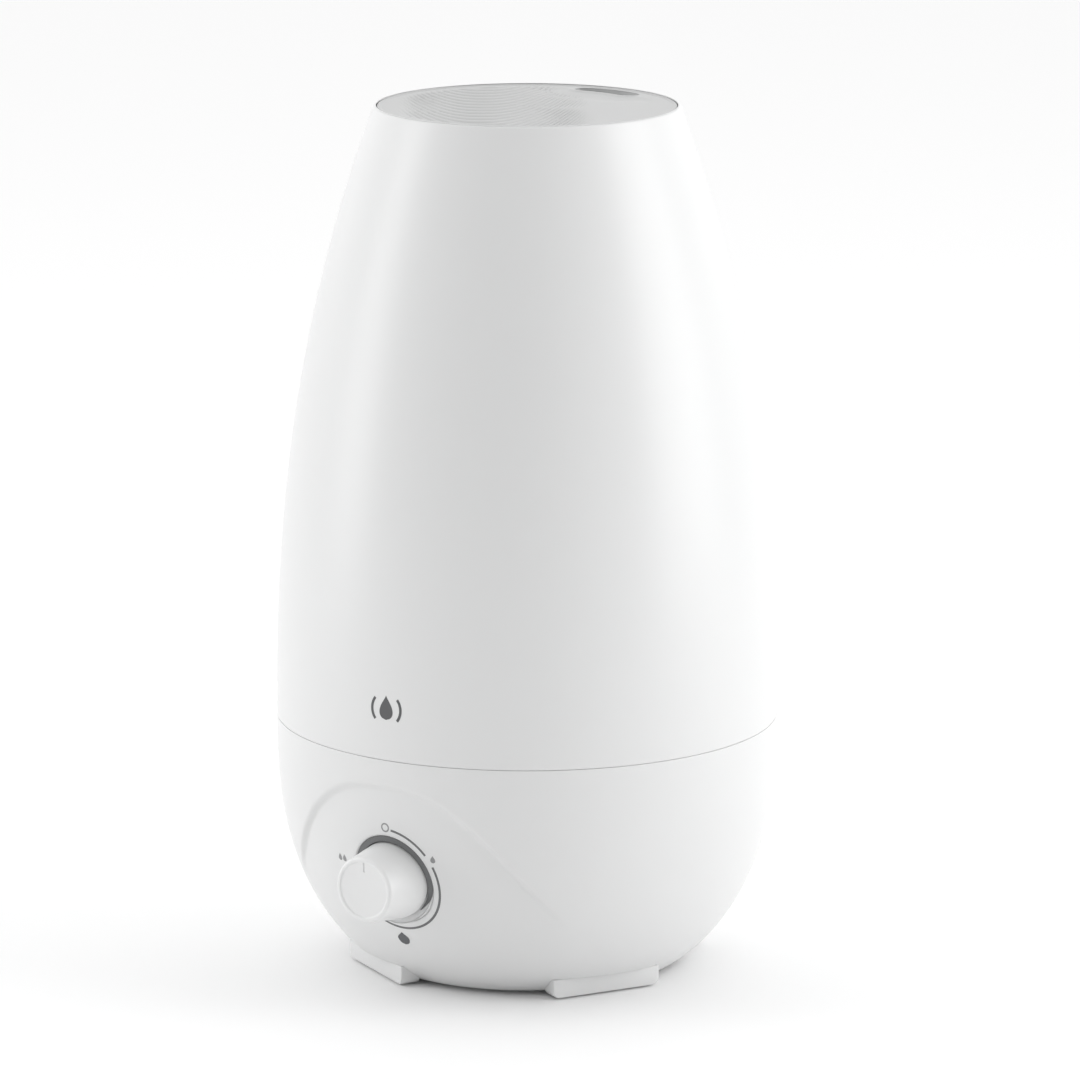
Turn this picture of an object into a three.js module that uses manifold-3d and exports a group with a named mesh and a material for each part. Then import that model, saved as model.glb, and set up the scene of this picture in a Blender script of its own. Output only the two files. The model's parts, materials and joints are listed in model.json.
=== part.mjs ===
// Cool mist humidifier: an egg-shaped, top-filled tank on a base with an ultrasonic transducer,
// a fan, a float, and a control knob. Millimetres, +Z up, the knob faces -Y.
// The origin is the centre of the bottom plate's flat underside.

import * as THREE from 'three';
import { mergeVertices } from 'three/addons/utils/BufferGeometryUtils.js';
import Module from 'manifold-3d';

const wasm = await Module();
wasm.setup();

// ---------------------------------------------------------------- driving dimensions

const GAP = 0.3;               // clearance between pieces that touch
const WALL = 2.4;              // moulded wall of the outer shells
const WIDEST_R = 85;           // outer radius at the seam between base and tank
const SEAM_Z = 84;             // height of the seam
const FOOTPRINT_R = 53.4;      // outer radius where the base meets its underside
const SHOULDER_R = 52;         // outer radius just below the top rim
const SHOULDER_Z = 289.2;
const RIM_TOP_Z = 291.5;
const MOUTH_R = 50.6;          // inner radius of the rim, round the cover
const LEDGE_Z = 286.4;         // top of the ledge that carries the cover
const LEDGE_R = 47.2;

const PLATE_R = 50;            // bottom plate
const PLATE_T = 2.6;
const LIP_R = 46.5;            // lip of the housing that the plate clamps against
const LIP_TOP_Z = 5.6;

const FOOT_AZIMUTH = 62;       // first foot, in degrees from the front; the others are 90 apart
const FOOT_FACE = 58;          // distance of a foot's flat outer face from the axis
const FOOT_BACK = 50.8;
const FOOT_LENGTH = 40;
const FOOT_TOP_Z = 5.6;
const FOOT_BOTTOM_Z = -1;
const PAD_DROP = 0.6;          // how far a rubber pad stands out below its foot

const KNOB_Z = 41.7;           // height of the knob's axis
const WELL_FLOOR_Y = -76;      // floor of the round well that the knob sits in
const WELL_R = 15.5;
const KNOB_BASE_R = 13.3;
const KNOB_FACE_R = 11;
const KNOB_LENGTH = 19;        // from the well's floor to the knob's face
const SHAFT_R = 2.9;
const BUSHING_R = 3.8;

const LENS_Z = 19.4;           // height of the drop-shaped indicator lens
const LENS_WIDTH = 3.8;

const BASIN_R = 72.5;          // water basin, outer radius of its wall
const BASIN_WALL = 2.2;
const BASIN_UNDER_Z = 54;
const BASIN_FLOOR_Z = 56.4;
const BASIN_RIM_Z = 80.7;
const BASIN_LEDGE_Z = 78.4;    // ledge of the housing that carries the basin's flange
const BOSS_RADIUS = 41;        // distance of the four screw bosses from the axis

const DUCT = new THREE.Vector2(0, 34);       // mist duct and transducer
const DUCT_R = 10.6;
const DUCT_BORE_R = 8.8;
const FAN = new THREE.Vector2(-20, 0);
const FAN_SIZE = 40;
const FAN_BORE_R = 18.5;
const FLOAT = new THREE.Vector2(0, -40);
const VALVE = new THREE.Vector2(34, -14);
const VALVE_TRAVEL = 4;
const TOWER_R = 11;
const TOWER_BORE_R = 9;

const TANK_FLOOR_Z = 85.6;     // underside of the tank's floor
const TANK_FLOOR_T = 2.4;
const DUCT_TOP_Z = 281.2;
const COVER_R = 50.2;
const COVER_TOP_Z = 291.3;
const OUTLET_AZIMUTH = 175;    // middle of the mist slot, in degrees from the front
const OUTLET_R = 43.5;         // middle radius of the slot
const OUTLET_DEPTH = 8;        // radial width of the slot
const OUTLET_HALF_ANGLE = 17;

const BODY_SEGMENTS = 40;
const ROUND_SEGMENTS = 20;
const SMALL_SEGMENTS = 8;

const COLOURS = {
  whitePlastic: 0xf2f3f2,
  coverPlastic: 0xe4e5e4,
  greyPlastic: 0xc9cccd,
  clearPlastic: 0xdfe6ea,
  blackPlastic: 0x26282a,
  darkLens: 0x3a3c3e,
  rubber: 0x55585a,
  silicone: 0xe9e9e4,
  steel: 0xb9bdc1,
  aluminium: 0xc4c7ca,
  ceramic: 0xd8d4c4,
  board: 0x2f6b45,
};

// ---------------------------------------------------------------- solids and booleans

function solidOf(geometry) {
  const bare = geometry.index ? geometry.toNonIndexed() : geometry.clone();
  bare.deleteAttribute('normal');
  bare.deleteAttribute('uv');
  const merged = mergeVertices(bare, 1e-4);
  const triangles = [];
  for (let i = 0; i < merged.index.count; i += 3) {
    const [a, b, c] = [0, 1, 2].map((k) => merged.index.getX(i + k));
    if (a !== b && b !== c && a !== c) triangles.push(a, b, c);
  }
  return new wasm.Manifold(new wasm.Mesh({
    numProp: 3,
    vertProperties: new Float32Array(merged.attributes.position.array),
    triVerts: new Uint32Array(triangles),
  }));
}

function geometryOf(solid) {
  const mesh = solid.getMesh();
  const geometry = new THREE.BufferGeometry();
  geometry.setAttribute('position', new THREE.BufferAttribute(mesh.vertProperties, 3));
  geometry.setIndex(new THREE.BufferAttribute(mesh.triVerts, 1));
  return geometry;
}

const join = (...solids) => solids.reduce((whole, solid) => whole.add(solid));
const cut = (solid, ...tools) => tools.reduce((rest, tool) => rest.subtract(tool), solid);

// A solid of revolution about the Z axis from [radius, z] points, anticlockwise when seen
// with the radius to the right and z up.
function turned(points, segments = ROUND_SEGMENTS) {
  const profile = points.map(([radius, z]) => new THREE.Vector2(radius, z));
  if (points[0][0] !== 0) profile.push(profile[0].clone());
  const geometry = new THREE.LatheGeometry(profile, segments);
  geometry.rotateX(Math.PI / 2);
  return solidOf(geometry);
}

function placed(solid, x, y, z = 0) {
  return solid.translate([x, y, z]);
}

function cylinder(radius, z0, z1, segments = ROUND_SEGMENTS) {
  return turned([[0, z0], [radius, z0], [radius, z1], [0, z1]], segments);
}

function tube(inner, outer, z0, z1, segments = ROUND_SEGMENTS) {
  return turned([[inner, z0], [outer, z0], [outer, z1], [inner, z1]], segments);
}

function box(x0, x1, y0, y1, z0, z1) {
  const geometry = new THREE.BoxGeometry(x1 - x0, y1 - y0, z1 - z0);
  geometry.translate((x0 + x1) / 2, (y0 + y1) / 2, (z0 + z1) / 2);
  return solidOf(geometry);
}

// Turns a solid built along +Z so that its axis points to the front, and puts its z = 0 plane
// at the given y and height.
function facingFront(solid, y, z) {
  return solid.rotate([90, 0, 0]).translate([0, y, z]);
}

// A closed skin through horizontal outlines that all have the same number of points.
function lofted(outlines) {
  const count = outlines[0].length;
  const last = outlines.length - 1;
  const vertices = outlines.flat().map((point) => [point.x, point.y, point.z]);
  const centres = [outlines[0], outlines[last]].map((outline) => {
    const sum = outline.reduce((total, point) => total.add(point), new THREE.Vector3());
    return sum.divideScalar(count);
  });
  centres.forEach((centre) => vertices.push([centre.x, centre.y, centre.z]));
  const bottomCentre = vertices.length - 2;
  const topCentre = vertices.length - 1;
  const triangles = [];
  for (let i = 0; i < count; i += 1) {
    const next = (i + 1) % count;
    triangles.push(bottomCentre, next, i);
    triangles.push(topCentre, last * count + i, last * count + next);
    for (let level = 0; level < last; level += 1) {
      const low = level * count;
      const high = low + count;
      triangles.push(low + i, low + next, high + next);
      triangles.push(low + i, high + next, high + i);
    }
  }
  const geometry = new THREE.BufferGeometry();
  geometry.setAttribute('position', new THREE.BufferAttribute(new Float32Array(vertices.flat()), 3));
  geometry.setIndex(triangles);
  return solidOf(geometry);
}

// A point at a distance from the axis, in a direction measured in degrees from the front
// towards +X.
function atAzimuth(radius, azimuth, z = 0) {
  const angle = THREE.MathUtils.degToRad(azimuth);
  return new THREE.Vector3(radius * Math.sin(angle), -radius * Math.cos(angle), z);
}

// ---------------------------------------------------------------- the outer shape

function bodyRadius(z) {
  if (z < SEAM_Z) {
    const depth = (SEAM_Z - z) / SEAM_Z;
    return WIDEST_R - (WIDEST_R - FOOTPRINT_R) * (0.89 * depth ** 2.8 + 0.11 * depth ** 13);
  }
  const rise = (z - SEAM_Z) / (SHOULDER_Z - SEAM_Z);
  return WIDEST_R - (WIDEST_R - SHOULDER_R) * rise ** 2.27;
}

// Outward unit normal of the outer shape, as [radial, vertical].
function bodyNormal(z) {
  const step = 0.01;
  const slope = (bodyRadius(z + step) - bodyRadius(z - step)) / (2 * step);
  const length = Math.hypot(1, slope);
  return [1 / length, -slope / length];
}

function outerPoints(z0, z1, count, bias = 1) {
  const points = [];
  for (let i = 0; i <= count; i += 1) {
    const z = z0 + (z1 - z0) * (i / count) ** bias;
    points.push([bodyRadius(z), z]);
  }
  return points;
}

function innerPoints(z0, z1, count, bias = 1) {
  return outerPoints(z0, z1, count, bias).map(([radius, z]) => {
    const [radial, vertical] = bodyNormal(z);
    return [radius - WALL * radial, z - WALL * vertical];
  });
}

// ---------------------------------------------------------------- base

const basinFlangeUnder = BASIN_LEDGE_Z + GAP;

function lensOutline(width) {
  const half = width / 2;
  const shape = new THREE.Shape();
  shape.moveTo(0, 1.55 * half);
  shape.quadraticCurveTo(0.75 * half, 0.75 * half, half, 0);
  shape.absarc(0, 0, half, 0, -Math.PI, true);
  shape.quadraticCurveTo(-0.75 * half, 0.75 * half, 0, 1.55 * half);
  return shape;
}

// A drop-shaped or round bar square to the housing's surface at the lens, from `inside` to
// `outside` millimetres along the outward normal.
function lensBar(shape, inside, outside) {
  const options = { depth: outside - inside, bevelEnabled: false, curveSegments: 8 };
  const geometry = new THREE.ExtrudeGeometry(shape, options);
  geometry.translate(0, 0, inside);
  const [radial, vertical] = bodyNormal(LENS_Z);
  const tilt = Math.atan2(-vertical, radial);
  geometry.rotateX(Math.PI / 2 + tilt);
  geometry.translate(0, -bodyRadius(LENS_Z), LENS_Z);
  return solidOf(geometry);
}

function roundShape(radius) {
  return new THREE.Shape().absarc(0, 0, radius, 0, 2 * Math.PI);
}

function footBlock(azimuth) {
  const block = box(-FOOT_LENGTH / 2, FOOT_LENGTH / 2, -FOOT_FACE, -FOOT_BACK, FOOT_BOTTOM_Z, FOOT_TOP_Z);
  const pocket = padBlock(GAP, FOOT_BOTTOM_Z - 1, FOOT_BOTTOM_Z + 1.2);
  return cut(block, pocket).rotate([0, 0, azimuth]);
}

// The pad's place in the foot at the front, grown by a margin on every side.
function padBlock(margin, z0, z1) {
  const half = 13 + margin;
  return box(-half, half, -55.6 - margin, -51.6 + margin, z0, z1);
}

function baseHousing(outerSolid) {
  const lipUnder = PLATE_T + GAP;
  const shell = turned([
    [PLATE_R + GAP, 0],
    ...outerPoints(0, SEAM_Z - GAP / 2, 9, 1.6),
    [WIDEST_R - WALL, SEAM_Z - GAP / 2],
    [WIDEST_R - WALL, BASIN_LEDGE_Z],
    [77.5, BASIN_LEDGE_Z],
    [77.5, BASIN_LEDGE_Z - 2.2],
    ...innerPoints(6, BASIN_LEDGE_Z - 4, 4, 1.3).reverse(),
    [LIP_R, LIP_TOP_Z],
    [LIP_R, lipUnder],
    [PLATE_R + GAP, lipUnder],
  ], BODY_SEGMENTS);

  const floorBack = WELL_FLOOR_Y + 2.2;
  const wellCup = facingFront(cylinder(WELL_R + 2, 0, 20, 24), floorBack, KNOB_Z);
  const wellBore = facingFront(cylinder(WELL_R, 0, 20, 24), WELL_FLOOR_Y, KNOB_Z);
  const bushingHole = facingFront(cylinder(BUSHING_R + GAP, -5, 5), WELL_FLOOR_Y, KNOB_Z);

  const lensTube = lensBar(roundShape(4.2), -12, 3);
  const lensHole = lensBar(lensOutline(LENS_WIDTH + 2 * GAP), -5, 3);
  const ledHole = lensBar(roundShape(2.5 + GAP), -13, -4.5);

  const inletPad = box(-9, 9, 60.5, 80, 7.2, 24.2);
  const inletRecess = box(-7, 7, 62.5, 90, 9.2, 22.2);
  const inletHole = facingFront(cylinder(4, -90, 0), 0, 15.7);

  const feet = [0, 1, 2, 3].map((i) => footBlock(FOOT_AZIMUTH + 90 * i));
  const additions = join(wellCup, lensTube, inletPad).intersect(outerSolid);
  return cut(join(shell, additions, ...feet), wellBore, bushingHole, lensHole, ledHole, inletRecess, inletHole);
}

function bossPlaces() {
  return [45, 135, 225, 315].map((azimuth) => atAzimuth(BOSS_RADIUS, azimuth));
}

const BOARD = { x0: 4, x1: 43, y0: -20, y1: 20, z: 20 };
const BOARD_POSTS = [[8, -16], [39, 16], [8, 16], [39, -16]];
const FAN_HOLES = [[-17, -17], [17, 17]];

function bottomPlate() {
  let plate = cylinder(PLATE_R, 0, PLATE_T, BODY_SEGMENTS);
  for (const [x, y] of BOARD_POSTS) {
    const post = cut(cylinder(2.8, 1, BOARD.z - GAP, SMALL_SEGMENTS), cylinder(1.5, 8, 30, SMALL_SEGMENTS));
    plate = join(plate, placed(post, x, y));
  }
  for (let i = -3; i <= 3; i += 1) {
    const half = Math.sqrt(16 ** 2 - (4.6 * i) ** 2);
    const y = FAN.y + 4.6 * i;
    plate = cut(plate, box(FAN.x - half, FAN.x + half, y - 1.4, y + 1.4, -1, PLATE_T + 1));
  }
  for (const [x, y] of FAN_HOLES) {
    plate = cut(plate, placed(cylinder(1.7, 0.6, PLATE_T + 1, SMALL_SEGMENTS), FAN.x + x, FAN.y + y));
  }
  for (const place of bossPlaces()) {
    const hole = join(cylinder(1.8, -1, 5, SMALL_SEGMENTS), cylinder(3.6, -1, 1.4, ROUND_SEGMENTS));
    plate = cut(plate, placed(hole, place.x, place.y));
  }
  return plate;
}

function waterBasin() {
  const dish = turned([
    [0, BASIN_UNDER_Z],
    [BASIN_R, BASIN_UNDER_Z],
    [BASIN_R, basinFlangeUnder],
    [82.2, basinFlangeUnder],
    [82.2, BASIN_RIM_Z],
    [BASIN_R - BASIN_WALL, BASIN_RIM_Z],
    [BASIN_R - BASIN_WALL, BASIN_FLOOR_Z],
    [0, BASIN_FLOOR_Z],
  ], BODY_SEGMENTS);
  const tower = placed(cylinder(TOWER_R, 18, 77), FAN.x, FAN.y);
  const towerBore = placed(cylinder(TOWER_BORE_R, 10, 90), FAN.x, FAN.y);
  const floatPost = placed(cylinder(2.5, BASIN_FLOOR_Z - 1, 75.5, SMALL_SEGMENTS), FLOAT.x, FLOAT.y);
  const valvePost = placed(
    cylinder(2, BASIN_FLOOR_Z - 1, STEM_BOTTOM_Z - VALVE_TRAVEL - GAP, SMALL_SEGMENTS), VALVE.x, VALVE.y,
  );
  const bosses = bossPlaces().map((place) => {
    const boss = cylinder(4, PLATE_T + GAP, BASIN_UNDER_Z + 1, SMALL_SEGMENTS);
    return placed(cut(boss, cylinder(1.7, 0, 18, SMALL_SEGMENTS)), place.x, place.y);
  });
  const soundHole = placed(cylinder(8.6, 50, 60), DUCT.x, DUCT.y);
  const pilots = holderScrewPlaces().map((place) => (
    placed(cylinder(1.4, 50, 55.8, SMALL_SEGMENTS), place.x, place.y)
  ));
  return cut(join(dish, tower, floatPost, valvePost, ...bosses), towerBore, soundHole, ...pilots);
}

// ---------------------------------------------------------------- transducer

const HOLDER_TOP_Z = BASIN_UNDER_Z - GAP;

function holderScrewPlaces() {
  return [90, 210, 330].map((azimuth) => atAzimuth(17.5, azimuth).add(new THREE.Vector3(DUCT.x, DUCT.y, 0)));
}

function transducerHolder() {
  const cup = turned([
    [5, 48],
    [14, 48],
    [14, HOLDER_TOP_Z - 2],
    [21, HOLDER_TOP_Z - 2],
    [21, HOLDER_TOP_Z],
    [10.6, HOLDER_TOP_Z],
    [10.6, 49.6],
    [5, 49.6],
  ]);
  const holes = holderScrewPlaces().map((place) => (
    placed(cylinder(1.4, 40, 60, SMALL_SEGMENTS), place.x, place.y)
  ));
  return cut(placed(cup, DUCT.x, DUCT.y), ...holes);
}

const transducerDisc = () => placed(cylinder(10.2, 49.9, 51.1), DUCT.x, DUCT.y);
const transducerSeal = () => placed(tube(7.4, 10.3, 51.4, HOLDER_TOP_Z), DUCT.x, DUCT.y);

// ---------------------------------------------------------------- fan

const FAN_FOOT_Z = PLATE_T + GAP;
const FAN_TOP_Z = FAN_FOOT_Z + 12;

function fanFrame() {
  const half = FAN_SIZE / 2;
  let frame = box(-half, half, -half, half, FAN_FOOT_Z, FAN_TOP_Z);
  frame = cut(frame, cylinder(FAN_BORE_R, 0, 20, 24));
  const spokes = [0, 120, 240].map((angle) => (
    box(0, FAN_BORE_R + 1, -1, 1, FAN_FOOT_Z, FAN_FOOT_Z + 1.5).rotate([0, 0, angle])
  ));
  frame = join(frame, ...spokes, cylinder(7, FAN_FOOT_Z, FAN_FOOT_Z + 1.5));
  frame = cut(frame, cylinder(1.3, FAN_FOOT_Z + 0.5, 10, SMALL_SEGMENTS));
  for (const [x, y] of FAN_HOLES) {
    frame = cut(frame, placed(cylinder(1.7, 0, 20, SMALL_SEGMENTS), x, y));
  }
  return placed(frame, FAN.x, FAN.y);
}

function fanImpeller() {
  const hub = cylinder(8, 4.9, 13.5);
  const shaft = cylinder(1, FAN_FOOT_Z + 0.9, 6, SMALL_SEGMENTS);
  const blades = [];
  for (let i = 0; i < 7; i += 1) {
    const blade = box(6, 17.6, -0.6, 0.6, -4.6, 4.6).rotate([40, 0, 0]).translate([0, 0, 9.4]);
    blades.push(blade.rotate([0, 0, 360 * i / 7]));
  }
  return placed(join(hub, shaft, ...blades), FAN.x, FAN.y);
}

// ---------------------------------------------------------------- float

const FLOAT_REST_Z = BASIN_FLOOR_Z + 0.5;

const floatRing = () => placed(tube(3.2, 9, FLOAT_REST_Z, FLOAT_REST_Z + 8), FLOAT.x, FLOAT.y);
const floatRetainer = () => placed(tube(2.8, 5, 73.3, 74.6), FLOAT.x, FLOAT.y);

// ---------------------------------------------------------------- electronics

function driverBoard() {
  const board = box(BOARD.x0, BOARD.x1, BOARD.y0, BOARD.y1, BOARD.z, BOARD.z + 1.6);
  const coil = placed(cylinder(5, BOARD.z + 1, BOARD.z + 12), 14, -6);
  const capacitors = [[14, 8], [24, 10]].map(([x, y]) => placed(cylinder(3.2, BOARD.z + 1, BOARD.z + 10), x, y));
  const holes = BOARD_POSTS.slice(0, 2).map(([x, y]) => placed(cylinder(1.7, 0, 40, SMALL_SEGMENTS), x, y));
  return cut(join(board, coil, ...capacitors), ...holes);
}

function heatSink() {
  const base = box(24, 40, -12, 2, BOARD.z + 1.9, BOARD.z + 4.5);
  const fins = [0, 1, 2, 3].map((i) => box(24.4 + 4.4 * i, 26.4 + 4.4 * i, -12, 2, BOARD.z + 4, BOARD.z + 16));
  return join(base, ...fins);
}

const POT_FRONT = -2.5;        // front of the potentiometer's body, from the well's floor

function potentiometer() {
  const body = cylinder(8, POT_FRONT - 8, POT_FRONT);
  const bushing = cylinder(BUSHING_R, POT_FRONT - 1, 2.6);
  const bore = cylinder(SHAFT_R + GAP, POT_FRONT - 7, 5);
  const pins = box(-5, 5, -13, -7, POT_FRONT - 7, POT_FRONT - 5.5);
  return facingFront(cut(join(body, bushing, pins), bore), WELL_FLOOR_Y, KNOB_Z);
}

function potentiometerNut() {
  const nut = cut(cylinder(5.8, GAP, 2.3, 6), cylinder(BUSHING_R + GAP, 0, 5));
  return facingFront(nut, WELL_FLOOR_Y, KNOB_Z);
}

const indicatorLed = () => lensBar(roundShape(2.5), -11, -5);

function indicatorLens(outerSolid) {
  return lensBar(lensOutline(LENS_WIDTH), -4, 3).intersect(outerSolid);
}

function powerInlet() {
  const body = box(-5, 5, 48, 60.2, 10.5, 21);
  const barrel = facingFront(cylinder(3.7, -62.3, -59), 0, 15.7);
  const bore = facingFront(cylinder(2.7, -70, -52), 0, 15.7);
  const pin = facingFront(cylinder(1, -61, -51), 0, 15.7);
  return join(cut(join(body, barrel), bore), pin);
}

// ---------------------------------------------------------------- knob

function controlKnob() {
  const body = turned([
    [0, 3.6],
    [4.8, 3.6],
    [4.8, 15.5],
    [10, 15.5],
    [10, 0.9],
    [KNOB_BASE_R, 0.9],
    [KNOB_BASE_R, 3.5],
    [KNOB_FACE_R + 0.5, KNOB_LENGTH - 1.5],
    [KNOB_FACE_R + 0.1, KNOB_LENGTH - 0.4],
    [KNOB_FACE_R - 0.8, KNOB_LENGTH],
    [KNOB_FACE_R - 1.8, KNOB_LENGTH],
    [0, KNOB_LENGTH - 0.6],
  ], 24);
  const bore = cylinder(SHAFT_R + GAP, 0, 13);
  return facingFront(cut(body, bore), WELL_FLOOR_Y, KNOB_Z);
}

const knobShaft = () => facingFront(cylinder(SHAFT_R, -9, 12.7), WELL_FLOOR_Y, KNOB_Z);

// ---------------------------------------------------------------- tank

function tankShell() {
  const ledgeUnder = LEDGE_Z - 1.8;
  return turned([
    [79.5, SEAM_Z + GAP / 2],
    ...outerPoints(SEAM_Z + GAP / 2, SHOULDER_Z, 9),
    [SHOULDER_R - 0.4, RIM_TOP_Z - 1.1],
    [SHOULDER_R - 0.9, RIM_TOP_Z - 0.3],
    [MOUTH_R + 0.2, RIM_TOP_Z],
    [MOUTH_R, RIM_TOP_Z - 0.2],
    [MOUTH_R, LEDGE_Z],
    [LEDGE_R, LEDGE_Z],
    [LEDGE_R, ledgeUnder],
    ...innerPoints(TANK_FLOOR_Z, ledgeUnder - 1, 6).reverse(),
    [79.5, TANK_FLOOR_Z - GAP],
  ], BODY_SEGMENTS);
}

function tankFloor() {
  const top = TANK_FLOOR_Z + TANK_FLOOR_T;
  const floor = turned([
    [0, TANK_FLOOR_Z],
    [67.2, TANK_FLOOR_Z],
    [67.2, 74],
    [69.4, 74],
    [69.4, TANK_FLOOR_Z],
    [82.2, TANK_FLOOR_Z],
    [82.2, top],
    [0, top],
  ], BODY_SEGMENTS);
  const ductHole = placed(cylinder(DUCT_R + GAP, 70, 100), DUCT.x, DUCT.y);
  const valveHole = placed(cylinder(6, 70, 100), VALVE.x, VALVE.y);
  return cut(floor, ductHole, valveHole);
}

function mistDuct() {
  const flangeZ = TANK_FLOOR_Z + TANK_FLOOR_T + GAP;
  const duct = turned([
    [DUCT_BORE_R, 66],
    [DUCT_R, 66],
    [DUCT_R, flangeZ],
    [14, flangeZ],
    [14, flangeZ + 1.8],
    [DUCT_R, flangeZ + 1.8],
    [DUCT_R, DUCT_TOP_Z],
    [DUCT_BORE_R, DUCT_TOP_Z],
  ]);
  return placed(duct, DUCT.x, DUCT.y);
}

const ductSeal = () => placed(tube(DUCT_R + GAP, 13.2, 83.2, TANK_FLOOR_Z - GAP), DUCT.x, DUCT.y);

// ---------------------------------------------------------------- tank valve

const STEM_R = 2.2;
const STEM_BOTTOM_Z = 72.5;
const FLANGE_TOP_Z = STEM_BOTTOM_Z + 2;
const CAGE_UNDER_Z = 82.6;
const SPRING_WIRE_R = 0.4;

function valveCage() {
  let cage = tube(STEM_R + 0.6, 10.5, CAGE_UNDER_Z, TANK_FLOOR_Z - GAP);
  for (const azimuth of [0, 90, 180, 270]) {
    const place = atAzimuth(4.9, azimuth);
    cage = cut(cage, placed(cylinder(1.3, 80, 90, SMALL_SEGMENTS), place.x, place.y));
  }
  return placed(cage, VALVE.x, VALVE.y);
}

function valvePlunger() {
  const plunger = turned([
    [0, STEM_BOTTOM_Z],
    [5, STEM_BOTTOM_Z],
    [5, FLANGE_TOP_Z],
    [STEM_R, FLANGE_TOP_Z],
    [STEM_R, 89.2],
    [8.5, 89.2],
    [8.5, 91.2],
    [0, 91.2],
  ]);
  return placed(plunger, VALVE.x, VALVE.y);
}

const valveSeal = () => placed(tube(STEM_R + GAP, 8, TANK_FLOOR_Z + TANK_FLOOR_T + GAP, 88.9), VALVE.x, VALVE.y);

class Helix extends THREE.Curve {
  constructor(radius, z0, z1, turns) {
    super();
    Object.assign(this, { radius, z0, z1, turns });
  }

  getPoint(t, target = new THREE.Vector3()) {
    const angle = 2 * Math.PI * this.turns * t;
    const z = this.z0 + (this.z1 - this.z0) * t;
    return target.set(this.radius * Math.cos(angle), this.radius * Math.sin(angle), z);
  }
}

function valveSpring() {
  const margin = GAP + SPRING_WIRE_R + 0.1;
  const turns = 4;
  const path = new Helix(3.9, FLANGE_TOP_Z + margin, CAGE_UNDER_Z - margin, turns);
  const wire = new THREE.Shape().absarc(0, 0, SPRING_WIRE_R, 0, 2 * Math.PI);
  const options = { steps: 10 * turns, curveSegments: 2, extrudePath: path, bevelEnabled: false };
  return placed(solidOf(new THREE.ExtrudeGeometry(wire, options)), VALVE.x, VALVE.y);
}

// ---------------------------------------------------------------- cover

// Outline of the mist passage at a height: a circle over the duct at the bottom that becomes
// a curved slot at the cover's edge.
function passageOutline(blend, z, margin) {
  const count = 20;
  const points = [];
  for (let i = 0; i < count; i += 1) {
    const angle = 2 * Math.PI * i / count;
    const circle = new THREE.Vector3(
      DUCT.x + (DUCT_BORE_R + margin) * Math.cos(angle),
      DUCT.y + (DUCT_BORE_R + margin) * Math.sin(angle),
      z,
    );
    const across = Math.sign(Math.cos(angle)) * Math.abs(Math.cos(angle)) ** 0.6;
    const along = Math.sign(Math.sin(angle)) * Math.abs(Math.sin(angle)) ** 0.6;
    const radius = OUTLET_R + (OUTLET_DEPTH / 2 + margin) * along;
    const sweep = OUTLET_HALF_ANGLE + THREE.MathUtils.radToDeg(margin / OUTLET_R);
    const slot = atAzimuth(radius, OUTLET_AZIMUTH - sweep * across, z);
    points.push(circle.lerp(slot, blend));
  }
  return points;
}

const PASSAGE_BOTTOM_Z = DUCT_TOP_Z + 0.6;

function passage(margin, extra) {
  const levels = [[0, PASSAGE_BOTTOM_Z - extra], [0, PASSAGE_BOTTOM_Z], [0.35, 287.8], [1, 290.3], [1, COVER_TOP_Z + extra]];
  const used = extra > 0 ? levels : levels.slice(1);
  return lofted(used.map(([blend, z]) => passageOutline(blend, z, margin)));
}

const NOZZLE_WALL = 1.2;

const mistOutlet = () => cut(passage(NOZZLE_WALL, 0), passage(0, 2));

function topCover() {
  const flangeUnder = LEDGE_Z + 1.4;
  const cover = turned([
    [0, COVER_TOP_Z - 2.3],
    [44, COVER_TOP_Z - 2.3],
    [44, PASSAGE_BOTTOM_Z],
    [46.4, PASSAGE_BOTTOM_Z],
    [46.4, flangeUnder],
    [COVER_R - 0.2, flangeUnder],
    [COVER_R, COVER_TOP_Z - 0.6],
    [COVER_R - 0.6, COVER_TOP_Z],
    [0, COVER_TOP_Z],
  ], BODY_SEGMENTS);
  return cut(cover, passage(NOZZLE_WALL + GAP, 2));
}

const lidSeal = () => tube(LEDGE_R - 0.3, COVER_R - 0.3, LEDGE_Z + GAP, LEDGE_Z + 1.1, BODY_SEGMENTS);

// ---------------------------------------------------------------- screws

function screw(headR, shankR, headZ, headT, length) {
  const shankEnd = headZ + Math.sign(length) * (headT + Math.abs(length));
  const headEnd = headZ + Math.sign(length) * headT;
  const [headLow, headHigh] = [Math.min(headZ, headEnd), Math.max(headZ, headEnd)];
  const [shankLow, shankHigh] = [Math.min(headZ, shankEnd), Math.max(headZ, shankEnd)];
  const head = cylinder(headR, headLow, headHigh, SMALL_SEGMENTS);
  const body = join(head, cylinder(shankR, shankLow, shankHigh, SMALL_SEGMENTS));
  const slotDepth = 0.5 * Math.sign(length);
  const slot = box(-headR + 0.8, headR - 0.8, -0.35, 0.35,
    Math.min(headZ - slotDepth, headZ + slotDepth), Math.max(headZ - slotDepth, headZ + slotDepth));
  return cut(body, slot);
}

// ---------------------------------------------------------------- assembly

const group = new THREE.Group();

function add(name, solid, colour, roughness, metalness = 0) {
  const material = new THREE.MeshStandardMaterial({ color: COLOURS[colour], roughness, metalness });
  const mesh = new THREE.Mesh(geometryOf(solid), material);
  mesh.name = name;
  group.add(mesh);
}

const outerSolid = turned([
  [0, 0],
  ...outerPoints(0, SEAM_Z - GAP / 2, 9, 1.6),
  [0, SEAM_Z - GAP / 2],
], BODY_SEGMENTS);

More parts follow.
